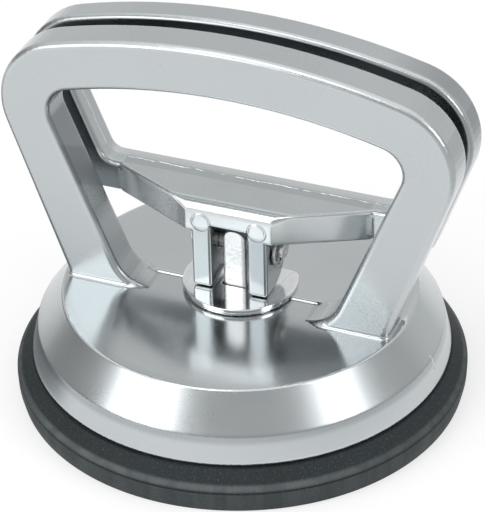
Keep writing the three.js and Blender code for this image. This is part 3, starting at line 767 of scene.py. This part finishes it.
def lever_solid(x, y, z):
    side = np.abs(x)
    loop = cut(outline_distance(side, z, LOOP_OUTLINE), outline_distance(side, z, LOOP_HOLE))
    loop = common(loop, between(y, LEVER_FRONT_Y, LEVER_BACK_Y), LEVER_EDGE)
    nose = outline_distance(side, y, NOSE_PLAN)
    nose = common(nose, between(z, CROSSBAR_BOTTOM_Z, CROSSBAR_TOP_Z), 0.7)
    slant = sqrt(NOSE_BEVEL_Y**2 + NOSE_BEVEL_Z**2)
    bevel = (
        (z - CROSSBAR_TOP_Z) * NOSE_BEVEL_Y + (NOSE_FRONT_Y + NOSE_BEVEL_Y - y) * NOSE_BEVEL_Z
    ) / slant
    nose = common(nose, bevel, 0.8)
    rooted = 0.8 * eased(side, 31, 33.5) * eased(z, 46.8, 48.5) * eased(z, 55, 53.3)
    body = joined(loop, nose, rooted)
    cheek = outline_distance(y, z, CHEEK_PROFILE)
    cheek = common(cheek, between(side, CHEEK_INNER_X, CHEEK_OUTER_X), 0.8)
    slot = np.maximum(side - CHEEK_INNER_X, z - CHEEK_SLOT_TOP_Z)
    body = joined(cut(body, slot, 0.6), cheek, 0.6 * eased(y, -6.8, -5.4))
    return cut(body, np.sqrt(y * y + (z - PIN_Z) ** 2) - PIN_HOLE_RADIUS, 0.3)


def loop_polish(metal):
    return (abs(metal.x) * 1000).rise(36, 30) * 0.35


def lever_tones(metal):
    """Painted shade between and on the cheeks, on the loop's front face above the crossbar and on
    its right side; painted highlight on the nose, the back of the crossbar's top and its left
    front slant.
    """
    side, y, z = abs(metal.x) * 1000, metal.y * 1000, metal.z * 1000
    # Painted shade: between the cheeks, and on the loop's front face above the crossbar, behind
    # the fixed grip.
    between_cheeks = (1 - side.rise(4.95, 5.3)) * (1 - z.rise(48.9, 49.4))
    facing = (1 - y.rise(3.9, 4.6)) * z.rise(57, 59)
    # Painted highlight: the nose, the back of the crossbar's top and its left front slant are
    # lighter.
    nose = (1 - y.rise(-6.6, -4.2)) * (1 - side.rise(12.5, 16)) * z.rise(46.9, 48.6)
    behind = y.rise(7.9, 8.3) * z.rise(54.1, 54.9) * (1 - z.rise(55.6, 57)) * 0.45
    slant = (1 - y.rise(1.5, 3.4)) * side.rise(13, 15) * (1 - z.rise(54.4, 54.9))
    left = (-metal.x * 1000).rise(0, 5)
    painted_highlight = (nose * 0.4).most(behind).most(slant * left) * (1 - between_cheeks)
    # Painted shade on the cheeks, stronger on the right and on their outer faces.
    cheek = (metal.x * 1000).rise(-2, 2, 0.22, 0.36).most(side.rise(9.7, 10.1) * 0.55)
    cheek = cheek * (1 - z.rise(46.5, 48.0))
    # Painted shade on the right of the loop, toward its back.
    corner = (metal.x * 1000).rise(34, 52) * z.rise(66, 84) * y.rise(4.6, 6.0) * 0.38
    return (between_cheeks.most(facing * 0.5) * 0.85).most(corner).most(cheek), painted_highlight


def die_marks(metal):
    """Two round ejector marks on the nose, and a broken line of flash inside the loop."""
    side, y, z = abs(metal.x) * 1000, metal.y * 1000, metal.z * 1000
    spread = ((side - EJECTOR_X) ** 2 + (z - EJECTOR_Z) ** 2).root()
    front = 1 - y.rise(NOSE_FRONT_Y + 0.3, NOSE_FRONT_Y + 0.8)
    disc = (1 - spread.rise(EJECTOR_RADIUS - 0.25, EJECTOR_RADIUS + 0.15)) * front
    ring = (1 - abs(spread - EJECTOR_RADIUS + 0.35).rise(0.05, 0.40)) * front
    waver = metal.noise(260.0, 2.0).rise(0.2, 0.8, -0.25, 0.25)
    broken = metal.noise(330.0, 3.0).rise(0.40, 0.52)
    inside = metal.node("Attribute", {"attribute_name": "loop_inside"})["Fac"]
    flash = (1 - abs(y - PARTING_Y + waver).rise(0.06, 0.34)) * inside
    seam = flash * (0.35 + broken * 0.65)
    return disc * 0.35 + ring * 0.35 + seam, seam * 0.8 + ring * 0.15


lever = skin("lever_casting", lever_solid, (-61, -9, 29), (61, 13, 103), LEVER_GRID)
spots = np.array([v.co for v in lever.data.vertices]) / MM
inside = eased(outline_distance(np.abs(spots[:, 0]), spots[:, 2], LOOP_HOLE), 0.6, 0.2)
inside *= spots[:, 2] < 84
mark = lever.data.attributes.new("loop_inside", "FLOAT", "POINT")
mark.data.foreach_set("value", inside.astype("f"))
lever.data.materials.append(cast_finish("lacquered_lever", loop_polish, lever_tones, die_marks))
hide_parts("cam_lever")
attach(lever, "lever")


# ---- Wear plate ----
# A pressed washer of hard bright steel under the cams, cut straight at its back edge.
# It is polished by the cams, with faint rubbing lines from front to back.

PLATE_RADIUS = 15
PLATE_TOP_Z = 29.9
PLATE_CUT_Y = 7.5
SLOT_HALF_WIDTH = 3.5
SLOT_HALF_DEPTH = 4.4
PLATE_GRID = 0.2


def plate_solid(x, y, z):
    across = np.sqrt(x * x + y * y)
    disc = common(across - PLATE_RADIUS, y - PLATE_CUT_Y, 1.4)
    disc = common(disc, between(z, PLATEAU_Z, PLATE_TOP_Z), 0.28)
    slot = common(np.abs(x) - SLOT_HALF_WIDTH, np.abs(y) - SLOT_HALF_DEPTH, 0.4)
    return cut(disc, slot, 0.2)


def steel_finish(name, colour, rough, scratch):
    """Bright steel with fine tool or rubbing marks along one direction."""
    steel = finish(name, Metallic=1.0)
    bend = steel.node("Attribute", {"attribute_name": "bend"})["Fac"]
    marks = steel.noise(1.0, 3.0, 0.6, stretch=scratch)
    cloud = steel.noise(90.0, 2.0)
    worn = bend.rise(0.1, 0.6)
    base = steel.mix(marks.rise(0.3, 0.7), tuple(c * 0.90 for c in colour), colour)
    base = steel.mix(worn * 0.6, base, (0.93, 0.94, 0.94))
    rough = marks.rise(0.3, 0.7, rough * 0.7, rough * 1.3) + cloud.rise(0.3, 0.7, -0.02, 0.03)
    normal = steel.bump(marks, 0.12, 0.00006)
    return steel.coat(Base_Color=base, Roughness=rough, Normal=normal)


plate = skin(
    "wear_plate_polished", plate_solid, (-15, -15, 28.7), (15, 8, 29.9), PLATE_GRID
)
plate.data.materials.append(
    steel_finish("polished_plate", (0.84, 0.86, 0.87), 0.10, (2600, 260, 600))
)
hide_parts("wear_plate")
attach(plate, "housing")


# ---- Draw stud ----
# A turned steel stud that the cams pull up: flat sides and a crowned eye round the pin
# above the housing, and a threaded shank below that holds the pad's plate.

STUD_RADIUS = 5
STUD_HALF_WIDTH = 3.2
STUD_HALF_DEPTH = 4.1
STUD_TOP_Z = 46.4
STUD_CROWN = 2.4
STUD_FLATS_Z = 24
STUD_SHOULDER_Z = 19.9
SHANK_RADIUS = 4
SHANK_END_Z = 9.0
THREAD_PITCH = 1.25
THREAD_DEPTH = 0.5
STUD_HOLE_RADIUS = 2.65
STUD_GRID = 0.2


def stud_solid(x, y, z):
    across = np.sqrt(x * x + y * y)
    bar = common(across - STUD_RADIUS, between(z, STUD_SHOULDER_Z, STUD_TOP_Z), 0.3)
    crown_radius = (STUD_HALF_WIDTH**2 + STUD_CROWN**2) / (2 * STUD_CROWN)
    crown = np.sqrt(x * x + (z - STUD_TOP_Z + crown_radius) ** 2) - crown_radius
    crown = np.where(z > STUD_TOP_Z - STUD_CROWN, crown, np.abs(x) - STUD_HALF_WIDTH)
    eye = common(crown, np.abs(x) - STUD_HALF_WIDTH, 0.3)
    eye = np.where(z < STUD_FLATS_Z, np.minimum(eye, z - STUD_FLATS_Z), eye)
    bar = common(bar, joined(eye, z - STUD_FLATS_Z), 0.5)
    bar = common(bar, joined(np.abs(y) - STUD_HALF_DEPTH, z - STUD_FLATS_Z), 0.5)
    turn = np.arctan2(y, x) / (2 * pi)
    ridge = np.abs(((z / THREAD_PITCH - turn) % 1) - 0.5) * 2
    shank = across - (SHANK_RADIUS - THREAD_DEPTH * ridge)
    shank = common(shank * 0.75, between(z, SHANK_END_Z, STUD_SHOULDER_Z + 1), 0.4)
    stud = np.minimum(bar, shank)
    return cut(stud, np.sqrt(y * y + (z - PIN_Z) ** 2) - STUD_HOLE_RADIUS, 0.25)


stud = skin("draw_stud_turned", stud_solid, (-5, -5, 9), (5, 5, 46.4), STUD_GRID)
stud.data.materials.append(
    steel_finish("bright_stud", (0.95, 0.955, 0.96), 0.42, (900, 900, 2600))
)
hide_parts("draw_stud")
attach(stud, "stud")


# ---- Pivot pin and its clips ----
# A zinc-plated steel pin through both cheeks and the stud's eye. A dark spring-steel
# clip snaps into a groove near each end, and its open mouth faces the back.

PIN_RADIUS = 2.5
PIN_END_X = 12.6
CLIP_RADIUS = 4.6
CLIP_INNER_X = 10.5
CLIP_OUTER_X = 11.3
CLIP_MOUTH = 3.2
GROOVE_RADIUS = 2.0
PIN_GRID = 0.16
CLIP_GRID = 0.12


def pin_solid(x, y, z):
    around = np.sqrt(y * y + (z - PIN_Z) ** 2)
    side = np.abs(x)
    pin = common(around - PIN_RADIUS, side - PIN_END_X, 0.45)
    beside_clip = between(side, CLIP_INNER_X - 0.05, CLIP_OUTER_X + 0.05)
    groove = np.maximum(GROOVE_RADIUS - around, beside_clip)
    dimple = np.sqrt(around**2 + (side - PIN_END_X - 0.5) ** 2) - 0.9
    return cut(cut(pin, groove, 0.1), dimple, 0.1)


def clip_solid(x, y, z):
    rise = z - PIN_Z
    around = np.sqrt(y * y + rise * rise)
    ring = cut(around - CLIP_RADIUS, around - GROOVE_RADIUS - 0.06, 0.05)
    for at in (radians(150), radians(210), radians(-90), radians(90)):
        relief = np.sqrt((y - 3.0 * cos(at)) ** 2 + (rise - 3.0 * sin(at)) ** 2) - 0.75
        ring = cut(ring, relief, 0.1)
    ring = cut(ring, np.maximum(np.abs(rise) - CLIP_MOUTH / 2, -y), 0.25)
    return common(ring, between(np.abs(x), CLIP_INNER_X, CLIP_OUTER_X), 0.15)


pin = skin(
    "pivot_pin_grooved", pin_solid, (-12.6, -2.5, 38.7), (12.6, 2.5, 43.7), PIN_GRID
)
pin.data.materials.append(
    steel_finish("zinc_pin", (0.56, 0.57, 0.56), 0.30, (400, 2400, 2400))
)
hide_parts("pivot_pin")
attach(pin, "stud")

clip_metal = steel_finish("dark_clip", (0.15, 0.16, 0.17), 0.36, (900, 1800, 1800))
for name, node, low, high in (
    ("clip_left", "retaining_clip_left", -CLIP_OUTER_X, -CLIP_INNER_X),
    ("clip_right", "retaining_clip_right", CLIP_INNER_X, CLIP_OUTER_X),
):
    clip = skin(name, clip_solid, (low, -4.6, 36.6), (high, 4.6, 45.8), CLIP_GRID)
    clip.data.materials.append(clip_metal)
    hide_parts(node)
    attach(clip, "stud")


# ---- Pad plate and jam nut ----
# The zinc-plated plate bonded in the rubber, and the nut that locks it on the shank.
# Both are hidden under the housing.

zinc = steel_finish("zinc_plate", (0.52, 0.53, 0.52), 0.34, (500, 500, 500))
for name in ("pad_insert", "jam_nut"):
    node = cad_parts[name]
    node.data.materials.clear()
    node.data.materials.append(zinc)


# ---- Rubber pad ----
# One black rubber moulding: a soft lip with a wide sealing band on the glass, a seat for
# the skirt, and a thick middle that the stud lifts off the glass to draw the vacuum.

PAD_RADIUS = 59
PAD_RIM_HEIGHT = 6.3
PAD_SEAT_Z = 10.6
PAD_SEAT_RADIUS = 55.1
PAD_FLOOR_RADIUS = 58.2
PAD_BAND_RADIUS = 47
PAD_LIP_RADIUS = 46.6
PAD_BEAD_OUTER = 50.3
PAD_BEAD_INNER = 47.7
PAD_BEAD_TOP_Z = 13.3
PAD_MIDDLE_TOP_Z = 8.5
PAD_MIDDLE_RADIUS = 30

RUBBER_DARK = (0.011, 0.016, 0.018)
RUBBER_PALE = (0.022, 0.029, 0.032)
# lighter rubber for painted light on the side and rim
RUBBER_LIT_SIDE = (0.070, 0.081, 0.084)
# dust, and also painted light at the front of the rim
RUBBER_DUST_AND_SHEEN = (0.13, 0.145, 0.15)
RUBBER_LINE = (0.004, 0.005, 0.006)

LIP_PROFILE = rounded([
    (PAD_LIP_RADIUS, PAD_MIDDLE_TOP_Z, 0),
    (PAD_LIP_RADIUS, 0.02, 0),
    (PAD_FLOOR_RADIUS, 0, 0.4),
    (PAD_RADIUS - 0.1, 3.1, 2.0),
    (PAD_RADIUS, PAD_RIM_HEIGHT, 0.55),
    (PAD_SEAT_RADIUS, PAD_SEAT_Z, 0.3),
    (PAD_BEAD_OUTER + 0.1, PAD_SEAT_Z, 0.3),
    (PAD_BEAD_OUTER, PAD_BEAD_TOP_Z, 0.8),
    (PAD_BEAD_INNER, PAD_BEAD_TOP_Z, 0.8),
    (PAD_LIP_RADIUS + 0.3, PAD_MIDDLE_TOP_Z, 0),
])
MIDDLE_PROFILE = [(0, STUD_TRAVEL)]
for i in range(17):
    share = i / 16
    r = PAD_MIDDLE_RADIUS + (PAD_BAND_RADIUS - PAD_MIDDLE_RADIUS) * share
    if r < PAD_LIP_RADIUS:
        MIDDLE_PROFILE.append((r, STUD_TRAVEL * (1 + cos(pi * share)) / 2))
MIDDLE_PROFILE += [(PAD_LIP_RADIUS - 0.02, 0.02), (PAD_LIP_RADIUS - 0.02, PAD_MIDDLE_TOP_Z)]
MIDDLE_PROFILE += [(r, PAD_MIDDLE_TOP_Z) for r in (40, 34, 28, 20, 10, 0)]


def revolved(name, profile, segments, material):
    """A turned or moulded ring: Geometry Nodes sweep the profile round the middle."""
    line = bpy.data.meshes.new(name + "_profile")
    count = len(profile)
    line.from_pydata(
        [(r * MM, -z * MM, 0) for r, z in profile],
        [(i, (i + 1) % count) for i in range(count)],
        [],
    )
    made = bpy.data.objects.new(name, line)
    bpy.context.collection.objects.link(made)
    tree = bpy.data.node_groups.new(name + "_sweep", "GeometryNodeTree")
    sockets = tree.interface
    sockets.new_socket("Geometry", in_out="INPUT", socket_type="NodeSocketGeometry")
    sockets.new_socket("Segments", in_out="INPUT", socket_type="NodeSocketInt")
    sockets.new_socket("Geometry", in_out="OUTPUT", socket_type="NodeSocketGeometry")

    def add(kind, settings=(), **inputs):
        node = tree.nodes.new(kind)
        for key, value in dict(settings).items():
            setattr(node, key, value)
        for key, value in inputs.items():
            socket = node.inputs[key.replace("_", " ")]
            if hasattr(value, "is_output"):
                tree.links.new(value, socket)
            else:
                socket.default_value = value
        return node

    given = tree.nodes.new("NodeGroupInput").outputs
    section = add("GeometryNodeMeshToCurve", Mesh=given["Geometry"])
    path = add("GeometryNodeCurvePrimitiveCircle", Resolution=given["Segments"], Radius=1e-7)
    swept = add(
        "GeometryNodeCurveToMesh", Curve=path.outputs[0], Profile_Curve=section.outputs[0]
    )
    real = add("GeometryNodeRealizeInstances", Geometry=swept.outputs[0])
    coated = add("GeometryNodeSetMaterial", Geometry=real.outputs[0], Material=material)
    result = tree.nodes.new("NodeGroupOutput")
    tree.links.new(coated.outputs[0], result.inputs["Geometry"])
    sweep = made.modifiers.new("sweep", "NODES")
    sweep.node_group = tree
    sweep[sockets.items_tree["Segments"].identifier] = segments
    graph = bpy.context.evaluated_depsgraph_get()
    mesh = bpy.data.meshes.new_from_object(made.evaluated_get(graph))
    made.modifiers.remove(sweep)
    made.data = mesh
    mesh.name = name
    solid = bmesh.new()
    solid.from_mesh(mesh)
    bmesh.ops.remove_doubles(solid, verts=solid.verts, dist=1e-6)
    bmesh.ops.recalc_face_normals(solid, faces=solid.faces)
    solid.to_mesh(mesh)
    solid.free()
    return made


def pad_rubber():
    """Matt black rubber: mould grain, dust, painted light on the side and round the rim, broken
    into streaks and stronger at the front, and a black line at the rim.
    """
    rubber = finish("black_rubber", Specular_IOR_Level=0.30)
    speckle = rubber.noise(2200.0, 2.0, 0.6)
    patches = rubber.noise(60.0, 3.0)
    dust = rubber.noise(2600.0, 1.0).rise(0.60, 0.74)
    shade = (speckle.rise(0.3, 0.7) * 0.5 + patches.rise(0.3, 0.7) * 0.5).least(1)
    colour = rubber.mix(shade, RUBBER_DARK, RUBBER_PALE)
    height = rubber.z * 1000
    # Painted light: the side and a band round the rim are made lighter, in streaks, as the lit
    # table would make them.
    outside = 1 - height.rise(PAD_RIM_HEIGHT - 0.9, PAD_RIM_HEIGHT - 0.5)
    rim = 1 - abs(height - PAD_RIM_HEIGHT - 0.7).rise(0.2, 1.0)
    seam = 1 - abs(height - PAD_RIM_HEIGHT + 0.35).rise(0.05, 0.30)
    streaks = rubber.noise(1.0, 2.0, stretch=(260, 260, 30)).rise(0.35, 0.65, 0.6, 1.0)
    colour = rubber.mix((outside * 0.62).most(rim * 0.85) * streaks, colour, RUBBER_LIT_SIDE)
    # More painted light on the rim at the front.
    front = (-rubber.y * 1000).rise(25, 55)
    colour = rubber.mix(rim * front * streaks * 0.5, colour, RUBBER_DUST_AND_SHEEN)
    colour = rubber.mix(seam * 0.8, colour, RUBBER_LINE)
    colour = rubber.mix(dust * 0.35, colour, RUBBER_DUST_AND_SHEEN)
    rough = patches.rise(0.3, 0.7, 0.62, 0.75)
    normal = rubber.bump(speckle, 0.30, 0.00012)
    return rubber.coat(Base_Color=colour, Roughness=rough, Normal=normal)


rubber_material = pad_rubber()
lip = revolved("rubber_pad_lip", LIP_PROFILE, 256, rubber_material)
middle = revolved("rubber_pad_middle", MIDDLE_PROFILE, 160, rubber_material)
for ring in (lip, middle):
    ring.data.polygons.foreach_set("use_smooth", [True] * len(ring.data.polygons))
    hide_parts("rubber_pad")
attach(lip, "housing")
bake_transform(middle)
